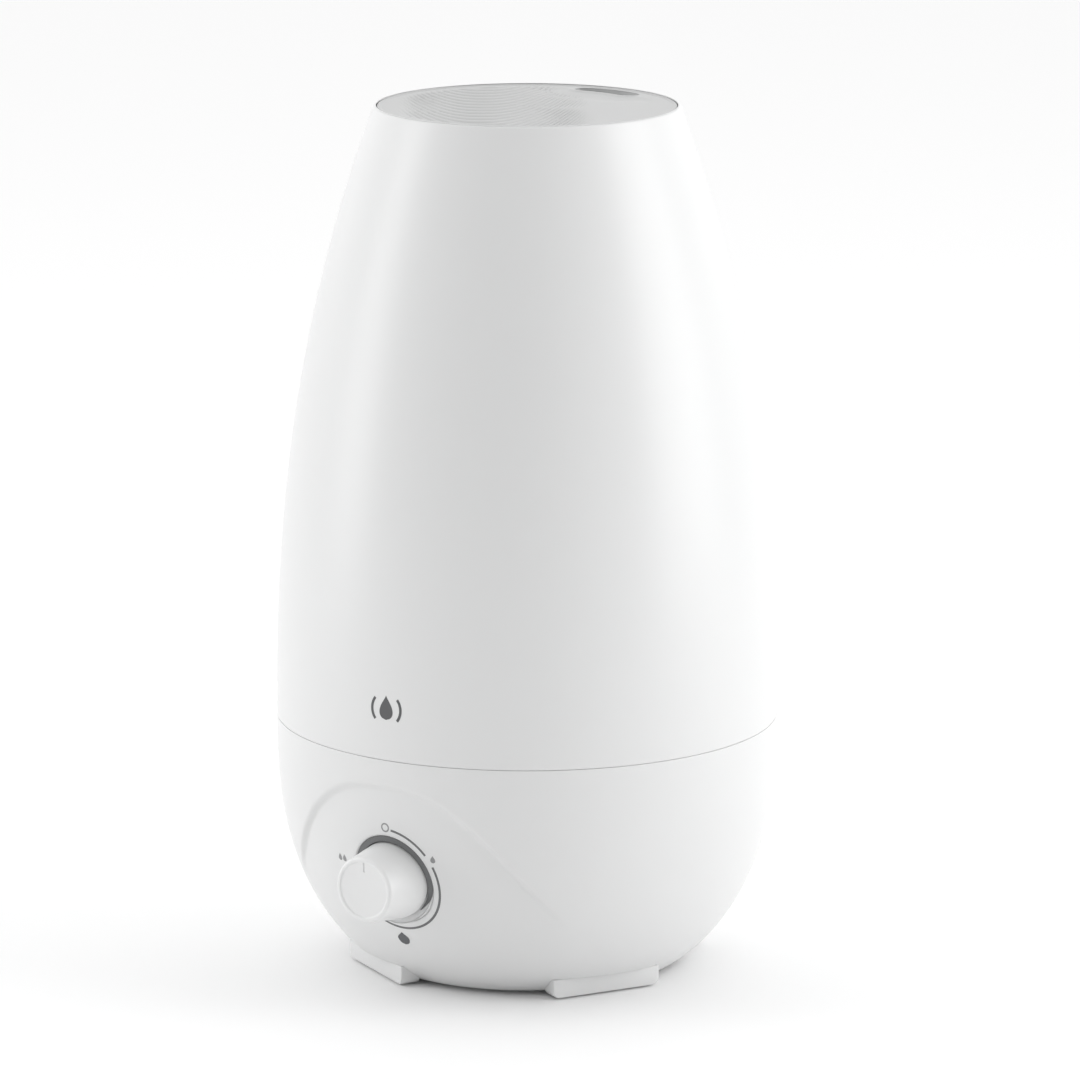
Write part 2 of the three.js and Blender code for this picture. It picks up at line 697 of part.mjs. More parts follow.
add('base_housing', baseHousing(outerSolid), 'whitePlastic', 0.35);
add('bottom_plate', bottomPlate(), 'whitePlastic', 0.5);
for (let i = 0; i < 4; i += 1) {
  const top = FOOT_BOTTOM_Z + 1.2 - GAP;
  const pad = padBlock(0, FOOT_BOTTOM_Z - PAD_DROP, top).rotate([0, 0, FOOT_AZIMUTH + 90 * i]);
  add(`foot_pad_${i + 1}`, pad, 'rubber', 0.9);
}
add('water_basin', waterBasin(), 'whitePlastic', 0.4);
add('transducer_holder', transducerHolder(), 'aluminium', 0.4, 1);
add('transducer_disc', transducerDisc(), 'ceramic', 0.3);
add('transducer_seal', transducerSeal(), 'silicone', 0.7);
add('fan_frame', fanFrame(), 'blackPlastic', 0.5);
add('fan_impeller', fanImpeller(), 'blackPlastic', 0.5);
add('float_ring', floatRing(), 'whitePlastic', 0.5);
add('float_retainer', floatRetainer(), 'greyPlastic', 0.5);
add('driver_board', driverBoard(), 'board', 0.5);
add('heat_sink', heatSink(), 'aluminium', 0.4, 1);
add('potentiometer', potentiometer(), 'steel', 0.4, 1);
add('potentiometer_nut', potentiometerNut(), 'steel', 0.35, 1);
add('indicator_led', indicatorLed(), 'clearPlastic', 0.2);
add('indicator_lens', indicatorLens(outerSolid), 'darkLens', 0.3);
add('power_inlet', powerInlet(), 'blackPlastic', 0.5);
add('control_knob', controlKnob(), 'whitePlastic', 0.3);
add('knob_shaft', knobShaft(), 'aluminium', 0.4, 1);
add('tank_shell', tankShell(), 'whitePlastic', 0.35);
add('tank_floor', tankFloor(), 'whitePlastic', 0.4);
add('mist_duct', mistDuct(), 'whitePlastic', 0.4);
add('duct_seal', ductSeal(), 'silicone', 0.7);
add('valve_cage', valveCage(), 'greyPlastic', 0.5);
add('valve_plunger', valvePlunger(), 'greyPlastic', 0.5);
add('valve_seal', valveSeal(), 'silicone', 0.7);
add('valve_spring', valveSpring(), 'steel', 0.3, 1);
add('top_cover', topCover(), 'coverPlastic', 0.4);
add('mist_outlet', mistOutlet(), 'coverPlastic', 0.4);
add('lid_seal', lidSeal(), 'silicone', 0.7);

bossPlaces().forEach((place, i) => {
  const solid = placed(screw(3.2, 1.4, 0.1, 1, 12), place.x, place.y);
  add(`plate_screw_${i + 1}`, solid, 'steel', 0.35, 1);
});
FAN_HOLES.forEach(([x, y], i) => {
  const solid = placed(screw(2.8, 1.3, FAN_TOP_Z + GAP + 1.6, 1.6, -13.8), FAN.x + x, FAN.y + y);
  add(`fan_screw_${i + 1}`, solid, 'steel', 0.35, 1);
});
BOARD_POSTS.slice(0, 2).forEach(([x, y], i) => {
  const solid = placed(screw(2.6, 1.2, BOARD.z + 3.5, 1.6, -10), x, y);
  add(`board_screw_${i + 1}`, solid, 'steel', 0.35, 1);
});
holderScrewPlaces().forEach((place, i) => {
  const solid = placed(screw(2.3, 1.1, 49.8, 1.6, 4), place.x, place.y);
  add(`holder_screw_${i + 1}`, solid, 'steel', 0.35, 1);
});

export default group;
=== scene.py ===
"""Looks for the cool mist humidifier: fine shells, relief, printed marks, plastics and the studio."""

import json
import math

import bmesh
import bpy
import numpy as np
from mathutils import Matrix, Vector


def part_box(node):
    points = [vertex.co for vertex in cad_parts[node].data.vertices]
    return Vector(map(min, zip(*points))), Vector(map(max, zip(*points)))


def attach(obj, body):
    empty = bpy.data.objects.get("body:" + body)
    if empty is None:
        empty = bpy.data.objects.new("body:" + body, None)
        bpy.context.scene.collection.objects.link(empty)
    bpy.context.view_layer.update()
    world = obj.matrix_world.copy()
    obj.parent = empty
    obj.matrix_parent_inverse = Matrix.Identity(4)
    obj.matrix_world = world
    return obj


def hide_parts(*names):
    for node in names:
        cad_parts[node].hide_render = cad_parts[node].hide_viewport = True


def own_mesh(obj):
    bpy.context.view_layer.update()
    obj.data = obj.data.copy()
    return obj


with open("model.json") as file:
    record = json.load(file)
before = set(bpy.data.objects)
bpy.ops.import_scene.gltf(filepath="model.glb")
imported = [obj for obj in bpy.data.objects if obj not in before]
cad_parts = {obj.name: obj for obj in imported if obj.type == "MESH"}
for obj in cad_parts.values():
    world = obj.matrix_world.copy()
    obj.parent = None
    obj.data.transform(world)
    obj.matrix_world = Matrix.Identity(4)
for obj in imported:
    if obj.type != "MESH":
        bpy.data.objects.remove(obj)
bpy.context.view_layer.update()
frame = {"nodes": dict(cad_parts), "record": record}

MM = 0.001


def node_box(node):
    """Lowest and highest corner of a CAD node, in millimetres."""
    low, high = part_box(node)
    return np.array(low) / MM, np.array(high) / MM


# ---------------------------------------------------------------- sizes, from the frame

_, HOUSING_HIGH = node_box("base_housing")
TANK_LOW, TANK_HIGH = node_box("tank_shell")
KNOB_LOW, KNOB_HIGH = node_box("control_knob")
COVER_LOW, COVER_HIGH = node_box("top_cover")
PAD_LOW, _ = node_box("foot_pad_1")
SPRING_LOW, SPRING_HIGH = node_box("valve_spring")

WIDEST_R = HOUSING_HIGH[0]
SEAM_Z = (HOUSING_HIGH[2] + TANK_LOW[2]) / 2
SEAM_GAP = TANK_LOW[2] - HOUSING_HIGH[2]
RIM_TOP_Z = TANK_HIGH[2]
COVER_R = COVER_HIGH[0]
COVER_TOP_Z = COVER_HIGH[2]
KNOB_BASE_R = KNOB_HIGH[0]
KNOB_Z = (KNOB_LOW[2] + KNOB_HIGH[2]) / 2
KNOB_FACE_Y = KNOB_LOW[1]
FLOOR_Z = PAD_LOW[2]

# Sizes that the CAD model shares but that no node's box gives.
WALL = 2.4
FOOTPRINT_R = 53.4         # the housing's underside
SHOULDER_R = 52.0          # where the tank's outside turns into its rim
SHOULDER_Z = RIM_TOP_Z - 2.3
MOUTH_R = 50.6             # the tank's mouth, above the ledge that carries the cover
LEDGE_Z = 286.4
LEDGE_R = 47.2
LEDGE_T = 1.8
PLATE_GAP_R = 50.3         # the opening that the bottom plate fills
LIP_R = 46.5               # the lip above the bottom plate
LIP_LOW_Z = 2.9
LIP_TOP_Z = 5.6
BASIN_LEDGE_Z = 78.4       # the ledge that carries the water basin
BASIN_LEDGE_R = 77.5
BASIN_LEDGE_T = 2.2
WELL_R = 15.5              # the round well behind the knob
WELL_FLOOR_Y = -76.0
BUSHING_HOLE_R = 4.1
KNOB_FACE_R = 11.0
FOOT_AZIMUTH = 62.0
FOOT_FACE = 58.0           # from the middle of the base to a foot's front face
FOOT_BACK = 50.8
FOOT_LENGTH = 40.0
FOOT_TOP_Z = 5.6
FOOT_BOTTOM_Z = -1.0
INLET_Z = 15.7             # the power inlet at the rear
INLET_HOLE_R = 4.0
LENS_Z = 19.4
DUCT_Y = 34.0
DUCT_BORE_R = 8.8
PASSAGE_BOTTOM_Z = 281.8
OUTLET_AZIMUTH = 175.0
OUTLET_R = 43.5            # middle of the slot
OUTLET_DEPTH = 8.0
OUTLET_HALF_ANGLE = 17.0
COVER_T = 2.3
SPRING_WIRE_R = 0.4
SPRING_TURNS = 4


# ---------------------------------------------------------------- the outer shape

def body_radius(z):
    """Radius of the smooth egg shape at a height, without the panel's relief."""
    z = np.asarray(z, float)
    depth = np.clip((SEAM_Z - z) / SEAM_Z, 0, None)
    low = WIDEST_R - (WIDEST_R - FOOTPRINT_R) * (0.89 * depth ** 2.8 + 0.11 * depth ** 13)
    rise = np.clip((z - SEAM_Z) / (SHOULDER_Z - SEAM_Z), 0, None)
    high = WIDEST_R - (WIDEST_R - SHOULDER_R) * rise ** 2.27
    return np.where(z < SEAM_Z, low, high)


def smooth_step(value):
    """0 below 0, 1 above 1, and a soft rise between them."""
    t = np.clip(value, 0, 1)
    return t * t * (3 - 2 * t)


PANEL_DEPTH = 1.5          # how far the control panel lies below the surface round it
PANEL_STEP = 2.2           # width of its soft edge


def panel_top(azimuth):
    """Height of the panel's bell-shaped edge, by degrees from the front."""
    return 11.2 + 63.0 * np.exp(-(np.abs(azimuth) / 40.0) ** 2.6)


def relief(azimuth, z):
    """How far the surface lies below the egg shape."""
    turn = (np.asarray(azimuth) + 180) % 360 - 180
    inside = smooth_step(0.5 + (panel_top(turn) - z) / PANEL_STEP)
    fade = smooth_step((z - 6) / 26) * smooth_step((47 - np.abs(turn)) / 18)
    return PANEL_DEPTH * inside * fade


def surface(azimuth, z, lift=0.0):
    """Points on the outer surface, in millimetres."""
    radius = body_radius(z) - relief(azimuth, z) + lift
    angle = np.radians(azimuth)
    return np.stack([radius * np.sin(angle), -radius * np.cos(angle), z + 0 * radius], -1)


def surface_at(x, z, lift=0.0):
    """Points on the front of the outer surface, by their place seen from the front."""
    azimuth = np.degrees(np.arcsin(x / body_radius(z)))
    for _ in range(3):     # the relief depends on the azimuth, so it is refined a few times
        azimuth = np.degrees(np.arcsin(x / (body_radius(z) - relief(azimuth, z) + lift)))
    return surface(azimuth, z, lift)


# ---------------------------------------------------------------- mesh tools

SHARP_ANGLE = math.radians(38)
WELD = 0.001 * MM          # points closer than this are one point


def shade(tidy, sharp):
    """Smooth shading, with steep edges kept crisp."""
    for face in tidy.faces:
        face.smooth = True
    for edge in tidy.edges:
        edge.smooth = not (edge.is_manifold and edge.calc_face_angle(0) > sharp)


def make_piece(name, vertices, faces, sharp=SHARP_ANGLE):
    """A shaded mesh object from millimetre vertices."""
    mesh = bpy.data.meshes.new(name)
    mesh.from_pydata((np.asarray(vertices) * MM).tolist(), [], faces)
    tidy = bmesh.new()
    tidy.from_mesh(mesh)
    bmesh.ops.remove_doubles(tidy, verts=tidy.verts, dist=WELD)
    bmesh.ops.recalc_face_normals(tidy, faces=tidy.faces)
    shade(tidy, sharp)
    tidy.to_mesh(mesh)
    tidy.free()
    piece = bpy.data.objects.new(name, mesh)
    bpy.context.scene.collection.objects.link(piece)
    return piece


def apply_modifiers(piece):
    """Bakes a piece's modifiers into its mesh."""
    evaluated = piece.evaluated_get(bpy.context.evaluated_depsgraph_get())
    mesh = bpy.data.meshes.new_from_object(evaluated)
    piece.modifiers.clear()
    old = piece.data
    piece.data = mesh
    bpy.data.meshes.remove(old)


def sharpen(piece):
    """Removes slivers and shades the piece again, after a modifier has changed its mesh."""
    tidy = bmesh.new()
    tidy.from_mesh(piece.data)
    bmesh.ops.dissolve_degenerate(tidy, dist=WELD, edges=tidy.edges)
    shade(tidy, SHARP_ANGLE)
    tidy.to_mesh(piece.data)
    tidy.free()


def cut_away(piece, cutter):
    """Subtracts the cutter from the piece, and removes the cutter."""
    boolean = piece.modifiers.new("cut", "BOOLEAN")
    boolean.operation = "DIFFERENCE"
    boolean.solver = "EXACT"
    boolean.object = cutter
    apply_modifiers(piece)
    bpy.data.objects.remove(cutter)
    sharpen(piece)


def rounded(corners, steps=5):
    """Rounds the corners of a closed 2-D outline given as (u, v, radius) triples."""
    count = len(corners)
    points = []
    for i, (u, v, radius) in enumerate(corners):
        here = np.array([u, v], float)
        if radius == 0:
            points.append(here)
            continue
        back = np.array(corners[i - 1][:2], float) - here
        ahead = np.array(corners[(i + 1) % count][:2], float) - here
        back /= np.linalg.norm(back)
        ahead /= np.linalg.norm(ahead)
        half = math.acos(np.clip(back @ ahead, -1, 1)) / 2
        reach = radius / math.tan(half)
        middle = (back + ahead) / np.linalg.norm(back + ahead)
        centre = here + middle * radius / math.sin(half)
        start = here + back * reach - centre
        end = here + ahead * reach - centre
        sweep = math.pi - 2 * half
        turn = np.sign(start[0] * end[1] - start[1] * end[0])
        for step in range(steps + 1):
            angle = turn * sweep * step / steps
            cosine, sine = math.cos(angle), math.sin(angle)
            spoke = np.array([start[0] * cosine - start[1] * sine, start[0] * sine + start[1] * cosine])
            points.append(centre + spoke)
    return points


def ring_faces(rows, columns, closed):
    """Quads of a grid whose columns wrap round, and whose rows do too if it is closed."""
    faces = []
    for row in range(rows if closed else rows - 1):
        low = row * columns
        high = ((row + 1) % rows) * columns
        for column in range(columns):
            after = (column + 1) % columns
            faces.append((low + column, low + after, high + after, high + column))
    return faces


def revolved(name, profile, columns=192, axis="z", centre=(0, 0, 0)):
    """A solid of revolution from (radius, height) points. The ends close on the axis if they lie
    on it, and otherwise the profile closes on itself. Its axis is upright or points to the front."""
    angles = np.linspace(0, 2 * np.pi, columns, endpoint=False)
    on_axis = profile[0][0] < 1e-9
    inner = profile[1:-1] if on_axis else profile
    rings = [np.stack([r * np.sin(angles), -r * np.cos(angles), np.full(columns, z)], -1) for r, z in inner]
    vertices = np.concatenate(rings)
    faces = ring_faces(len(inner), columns, not on_axis)
    if on_axis:
        start, end = len(vertices), len(vertices) + 1
        vertices = np.concatenate([vertices, [[0, 0, profile[0][1]], [0, 0, profile[-1][1]]]])
        last = (len(inner) - 1) * columns
        for column in range(columns):
            after = (column + 1) % columns
            faces.append((start, after, column))
            faces.append((end, last + column, last + after))
    if axis == "front":
        vertices = np.stack([vertices[:, 0], -vertices[:, 2], vertices[:, 1]], -1)
    return make_piece(name, vertices + np.array(centre), faces)


def bevel_edges(piece, width, angle_limit):
    edges = piece.modifiers.new("edges", "BEVEL")
    edges.width = width * MM
    edges.segments = 3
    edges.limit_method = "ANGLE"
    edges.angle_limit = math.radians(angle_limit)
    apply_modifiers(piece)
    sharpen(piece)


def turned_by(points, azimuth):
    """Points turned about the vertical axis."""
    angle = math.radians(azimuth)
    cosine, sine = math.cos(angle), math.sin(angle)
    x, y, z = points[:, 0], points[:, 1], points[:, 2]
    return np.stack([x * cosine - y * sine, x * sine + y * cosine, z], -1)


def rounded_block(name, low, high, bevel, azimuth=0.0):
    """A box with rounded edges, turned about the vertical axis."""
    low, high = np.array(low, float), np.array(high, float)
    corners = [(x, y, z) for x in (low[0], high[0]) for y in (low[1], high[1]) for z in (low[2], high[2])]
    faces = [(0, 1, 3, 2), (4, 6, 7, 5), (0, 4, 5, 1), (2, 3, 7, 6), (0, 2, 6, 4), (1, 5, 7, 3)]
    piece = make_piece(name, turned_by(np.array(corners), azimuth), faces)
    bevel_edges(piece, bevel, 30)
    return piece


# ---------------------------------------------------------------- materials

def new_material(name):
    material = bpy.data.materials.new(name)
    material.use_nodes = True
    nodes = material.node_tree.nodes
    return material, nodes, material.node_tree.links, nodes["Principled BSDF"]


def plastic(name, colour, roughness, texture_scale, bump, mottle=0.02, coat=0.0, scatter=0.0):
    """Moulded plastic: a fine grain, faint cloudiness in the colour, slightly uneven gloss."""
    material, nodes, links, shader = new_material(name)
    place = nodes.new("ShaderNodeTexCoord")

    cloud = nodes.new("ShaderNodeTexNoise")
    cloud.inputs["Scale"].default_value = 28.0
    cloud.inputs["Detail"].default_value = 4.0
    links.new(place.outputs["Object"], cloud.inputs["Vector"])
    tint = nodes.new("ShaderNodeMix")
    tint.data_type = "RGBA"
    tint.inputs["A"].default_value = (*[c * (1 - mottle) for c in colour], 1)
    tint.inputs["B"].default_value = (*[min(1.0, c * (1 + mottle)) for c in colour], 1)
    links.new(cloud.outputs["Fac"], tint.inputs["Factor"])
    links.new(tint.outputs["Result"], shader.inputs["Base Color"])

    gloss = nodes.new("ShaderNodeMapRange")
    gloss.inputs["To Min"].default_value = roughness * 0.9
    gloss.inputs["To Max"].default_value = roughness * 1.1
    links.new(cloud.outputs["Fac"], gloss.inputs["Value"])
    links.new(gloss.outputs["Result"], shader.inputs["Roughness"])

    grain = nodes.new("ShaderNodeTexNoise")
    grain.inputs["Scale"].default_value = texture_scale
    grain.inputs["Detail"].default_value = 3.0
    links.new(place.outputs["Object"], grain.inputs["Vector"])
    dents = nodes.new("ShaderNodeBump")
    dents.inputs["Strength"].default_value = bump
    dents.inputs["Distance"].default_value = 0.05 * MM
    links.new(grain.outputs["Fac"], dents.inputs["Height"])
    links.new(dents.outputs["Normal"], shader.inputs["Normal"])

    shader.inputs["Coat Weight"].default_value = coat
    shader.inputs["Coat Roughness"].default_value = 0.25
    shader.inputs["Subsurface Weight"].default_value = scatter
    shader.inputs["Subsurface Radius"].default_value = (1.6 * MM, 1.5 * MM, 1.4 * MM)
    shader.inputs["Subsurface Scale"].default_value = 1.0
    return material


def metal(name, colour, roughness, stretch=(1, 1, 12)):
    """Machined or drawn metal with fine lines in its gloss."""
    material, nodes, links, shader = new_material(name)
    place = nodes.new("ShaderNodeTexCoord")
    mapping = nodes.new("ShaderNodeMapping")
    mapping.inputs["Scale"].default_value = stretch
    links.new(place.outputs["Object"], mapping.inputs["Vector"])
    lines = nodes.new("ShaderNodeTexNoise")
    lines.inputs["Scale"].default_value = 600.0
    lines.inputs["Detail"].default_value = 3.0
    links.new(mapping.outputs["Vector"], lines.inputs["Vector"])
    gloss = nodes.new("ShaderNodeMapRange")
    gloss.inputs["To Min"].default_value = roughness * 0.7
    gloss.inputs["To Max"].default_value = roughness * 1.3
    links.new(lines.outputs["Fac"], gloss.inputs["Value"])
    links.new(gloss.outputs["Result"], shader.inputs["Roughness"])
    tint = nodes.new("ShaderNodeMix")
    tint.data_type = "RGBA"
    tint.inputs["A"].default_value = (*[c * 0.9 for c in colour], 1)
    tint.inputs["B"].default_value = (*colour, 1)
    links.new(lines.outputs["Fac"], tint.inputs["Factor"])
    links.new(tint.outputs["Result"], shader.inputs["Base Color"])
    shader.inputs["Metallic"].default_value = 1.0
    return material


# A plastic's numbers are its roughness, the grain's scale and strength, the colour's cloudiness,
# the clear coat and the light that scatters inside it.
MATERIALS = {
    "white_shell": plastic("white_shell", (0.733, 0.736, 0.736), 0.32, 2600, 0.12, 0.006, 0.12, 0.04),
    "knob_plastic": plastic("knob_plastic", (0.775, 0.778, 0.778), 0.30, 2600, 0.10, 0.006, 0.12, 0.04),
    "cover_plastic": plastic("cover_plastic", (0.47, 0.473, 0.473), 0.42, 2200, 0.20, 0.012, 0.0, 0.04),
    "inner_plastic": plastic("inner_plastic", (0.80, 0.81, 0.81), 0.42, 1800, 0.18, 0.012, 0.0, 0.04),
    "grey_plastic": plastic("grey_plastic", (0.42, 0.44, 0.45), 0.45, 1800, 0.2, 0.02),
    "black_plastic": plastic("black_plastic", (0.025, 0.025, 0.028), 0.42, 1600, 0.3, 0.1),
    "dark_lens": plastic("dark_lens", (0.075, 0.078, 0.085), 0.18, 2600, 0.05, 0.05, 0.4),
    "clear_plastic": plastic("clear_plastic", (0.75, 0.80, 0.84), 0.12, 2600, 0.05, 0.01, 0.3),
    "pad_rubber": plastic("pad_rubber", (0.10, 0.10, 0.105), 0.75, 1200, 0.6, 0.08),
    "silicone": plastic("silicone", (0.72, 0.72, 0.69), 0.55, 1500, 0.3, 0.02, 0.0, 0.1),
    "steel": metal("steel", (0.62, 0.64, 0.66), 0.28),
    "aluminium": metal("aluminium", (0.74, 0.75, 0.76), 0.35),
    "circuit_board": plastic("circuit_board", (0.03, 0.16, 0.07), 0.35, 900, 0.4, 0.12, 0.3),
    # Painted shade: a dark grey for the ring that stands in for the shadow in the gap round the knob.
    "painted_gap_shade": plastic("painted_gap_shade", (0.15, 0.153, 0.156), 0.5, 1800, 0.2, 0.04),
    "outlet_plastic": plastic("outlet_plastic", (0.60, 0.605, 0.605), 0.45, 2200, 0.2, 0.012),
    "dial_print": plastic("dial_print", (0.15, 0.152, 0.155), 0.5, 3000, 0.1, 0.05),
    "print": plastic("print", (0.095, 0.097, 0.10), 0.5, 3000, 0.1, 0.05),
    "pale_print": plastic("pale_print", (0.27, 0.272, 0.275), 0.45, 3000, 0.1, 0.02),
}


def dress(piece, body, material, stands_for=()):
    """Gives a piece its material and body, and hides the CAD nodes that it stands for."""
    piece.data.materials.clear()
    piece.data.materials.append(MATERIALS[material])
    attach(piece, body)
    if stands_for:
        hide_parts(*stands_for)


def dress_cad_nodes():
    """Every CAD node that stays in view gets its slot's material."""
    for row in frame["record"]["subparts"]:
        node = frame["nodes"][row["node"]]
        node.data.materials.clear()
        node.data.materials.append(MATERIALS[row["material_slot"]])


# ---------------------------------------------------------------- base housing

FINE_AZIMUTH = 52.0        # half the front sector that has closely spaced columns
PATCH_AZIMUTH = 15.0       # half width of the patch that is laid out round the knob's well
PATCH_HALF_HEIGHT = 22.0
HOUSING_TOP_Z = SEAM_Z - SEAM_GAP / 2
WELL_BACK_T = 2.2          # thickness of the well's floor
WELL_ROUNDING = 0.8        # of the well's lip and of its floor's corner


def housing_azimuths():
    fine = np.arange(-FINE_AZIMUTH, FINE_AZIMUTH + 0.01, 0.5)
    coarse = np.linspace(FINE_AZIMUTH, 360 - FINE_AZIMUTH, 104)[1:-1]
    return np.concatenate([fine, coarse])


def housing_heights():
    foot = [0.7, 1.1, 1.6, 2.2, 2.9, 3.6, 4.4, 5.2, 6.0]
    wall = np.linspace(6.8, HOUSING_TOP_Z - 0.9, 96)
    return np.concatenate([foot, wall])


def housing_inner_profile():
    """(radius, height) points from the rim down the inside and round the underside."""
    top_r = body_radius(HOUSING_TOP_Z)
    under = BASIN_LEDGE_Z - BASIN_LEDGE_T
    rim = rounded([
        (top_r, HOUSING_TOP_Z - 0.9, 0), (top_r, HOUSING_TOP_Z, 0.1),
        (WIDEST_R - WALL, HOUSING_TOP_Z, 0.35), (WIDEST_R - WALL, BASIN_LEDGE_Z, 0),
        (BASIN_LEDGE_R, BASIN_LEDGE_Z, 0.3), (BASIN_LEDGE_R, under, 0.2), (80.0, under, 0),
    ])[1:]
    skin = []
    for z in np.linspace(BASIN_LEDGE_Z - 4, 7, 14):
        slope = (body_radius(z + 0.1) - body_radius(z - 0.1)) / 0.2
        length = math.hypot(1, slope)
        skin.append((body_radius(z) - (WALL + PANEL_DEPTH) / length, z + WALL * slope / length))
    lip = rounded([
        (56.0, LIP_TOP_Z, 0), (LIP_R, LIP_TOP_Z, 0.3), (LIP_R, LIP_LOW_Z, 0), (PLATE_GAP_R, LIP_LOW_Z, 0),
        (PLATE_GAP_R, 0, 0.3), (FOOTPRINT_R, 0, 0.6), (body_radius(1.2), 1.2, 0),
    ])[:-1]
    return rim + skin + lip


def well_back(points):
    """Pushes the inner skin inwards behind the knob's well."""
    across = np.hypot(points[:, 0], points[:, 2] - KNOB_Z)
    front = points[:, 1] < 0
    push = smooth_step((WELL_R + 7 - across) / 4) * front
    deep = WELL_FLOOR_Y + WELL_BACK_T
    pushed = points[:, 1] + push * np.maximum(deep - points[:, 1], 0)
    return np.stack([points[:, 0], pushed, points[:, 2]], -1)


def well_rings(directions, start_x, start_z):
    """Rings of the knob's well: from the patch's outline down over a rounded lip to the floor."""
    rings = []
    outline = np.hypot(start_x, start_z - KNOB_Z)
    for blend in np.linspace(0, 1, 9)[1:]:
        across = outline + (WELL_R + WELL_ROUNDING - outline) * blend ** 0.8
        rings.append(surface_at(across * directions[:, 0], KNOB_Z + across * directions[:, 1]))
    for angle in np.radians([18, 36, 54, 72, 90]):
        across = WELL_R + WELL_ROUNDING * (1 - math.sin(angle))
        ring = surface_at(across * directions[:, 0], KNOB_Z + across * directions[:, 1])
        ring[:, 1] += WELL_ROUNDING * (1 - math.cos(angle))
        rings.append(ring)
    wall_top = rings[-1][:, 1].copy()
    for blend in (0.4, 0.8, 1.0):
        y = wall_top + (WELL_FLOOR_Y - WELL_ROUNDING - wall_top) * blend
        rings.append(flat_ring(directions, WELL_R, y))
    for angle in np.radians([30, 60, 90]):
        across = WELL_R - WELL_ROUNDING * (1 - math.cos(angle))
        rings.append(flat_ring(directions, across, WELL_FLOOR_Y - WELL_ROUNDING * (1 - math.sin(angle))))
    for across in (12.0, 8.0, 4.0):
        rings.append(flat_ring(directions, across, WELL_FLOOR_Y))
    return rings


def flat_ring(directions, across, y):
    """A ring round the knob's axis, at one depth or at a depth for each direction."""
    x = across * directions[:, 0]
    return np.stack([x, y + 0 * x, KNOB_Z + across * directions[:, 1]], -1)


def housing_rows(azimuths, heights):
    """Rings of points from the foot up the outside, over the rim and back down the inside."""
    rows = [surface(azimuths, np.full(len(azimuths), z)) for z in heights]
    for radius, z in housing_inner_profile():
        ring = ring_of_points(radius, azimuths, z)
        beside_well = radius < 82 and 8 < z < 74
        rows.append(well_back(ring) if beside_well else ring)
    return rows


def ring_of_points(radius, azimuths, z):
    flat = azimuth_point(radius, azimuths)
    return np.column_stack([flat, np.full(len(azimuths), z)])


def housing_mesh():
    """The shell as a grid of rings, with a patch round the knob's well laid out as rings of its own."""
    azimuths = housing_azimuths()
    columns = len(azimuths)
    heights = housing_heights()
    rows = housing_rows(azimuths, heights)
    vertices = np.concatenate(rows)

    left = int(np.argmin(np.abs(azimuths + PATCH_AZIMUTH)))
    right = int(np.argmin(np.abs(azimuths - PATCH_AZIMUTH)))
    low = int(np.argmin(np.abs(heights - (KNOB_Z - PATCH_HALF_HEIGHT))))
    high = int(np.argmin(np.abs(heights - (KNOB_Z + PATCH_HALF_HEIGHT))))
    faces = []
    for index, face in enumerate(ring_faces(len(rows), columns, True)):
        row, column = divmod(index, columns)
        if not (low <= row < high and left <= column < right):
            faces.append(face)

    outline = [low * columns + c for c in range(left, right)]
    outline += [r * columns + right for r in range(low, high)]
    outline += [high * columns + c for c in range(right, left, -1)]
    outline += [r * columns + left for r in range(high, low, -1)]
    count = len(outline)
    start = vertices[outline]
    towards = np.stack([start[:, 0], start[:, 2] - KNOB_Z], -1)
    directions = towards / np.linalg.norm(towards, axis=1)[:, None]
    rings = well_rings(directions, start[:, 0], start[:, 2])
    previous = outline
    for ring in rings:
        first = len(vertices)
        vertices = np.concatenate([vertices, ring])
        current = list(range(first, first + count))
        for i in range(count):
            after = (i + 1) % count
            faces.append((previous[i], previous[after], current[after], current[i]))
        previous = current
    vertices = np.concatenate([vertices, [[0, WELL_FLOOR_Y, KNOB_Z]]])
    centre = len(vertices) - 1
    for i in range(count):
        faces.append((previous[i], previous[(i + 1) % count], centre))
    return vertices, faces


def front_cutter(name, radius, near, far, centre):
    """A round cutter along Y, from near to far towards the front of its centre."""
    return revolved(name, [(0, near), (radius, near), (radius, far), (0, far)], 48, "front", centre)


def base_housing():
    housing = make_piece("housing_shell", *housing_mesh())
    cut_away(housing, rounded_block("recess_cutter", (-7, 62.5, INLET_Z - 6.5), (7, 90, INLET_Z + 6.5), 1.0))
    cut_away(housing, front_cutter("hole_cutter", INLET_HOLE_R, -90, 0, (0, 0, INLET_Z)))
    cut_away(housing, front_cutter("bushing_cutter", BUSHING_HOLE_R, -5, 5, (0, WELL_FLOOR_Y, KNOB_Z)))
    foot_notches(housing)
    dress(housing, "base", "white_shell", stands_for=["base_housing"])


def foot_notches(housing):
    """Trims the housing flush with the feet, so that their straight faces show at full height."""
    low = (-FOOT_LENGTH / 2 - 0.2, -90, -2)
    high = (FOOT_LENGTH / 2 + 0.2, 0.05 - FOOT_FACE, FOOT_TOP_Z + 0.05)
    for i in range(4):
        cut_away(housing, rounded_block("notch_cutter", low, high, 0.3, FOOT_AZIMUTH + 90 * i))


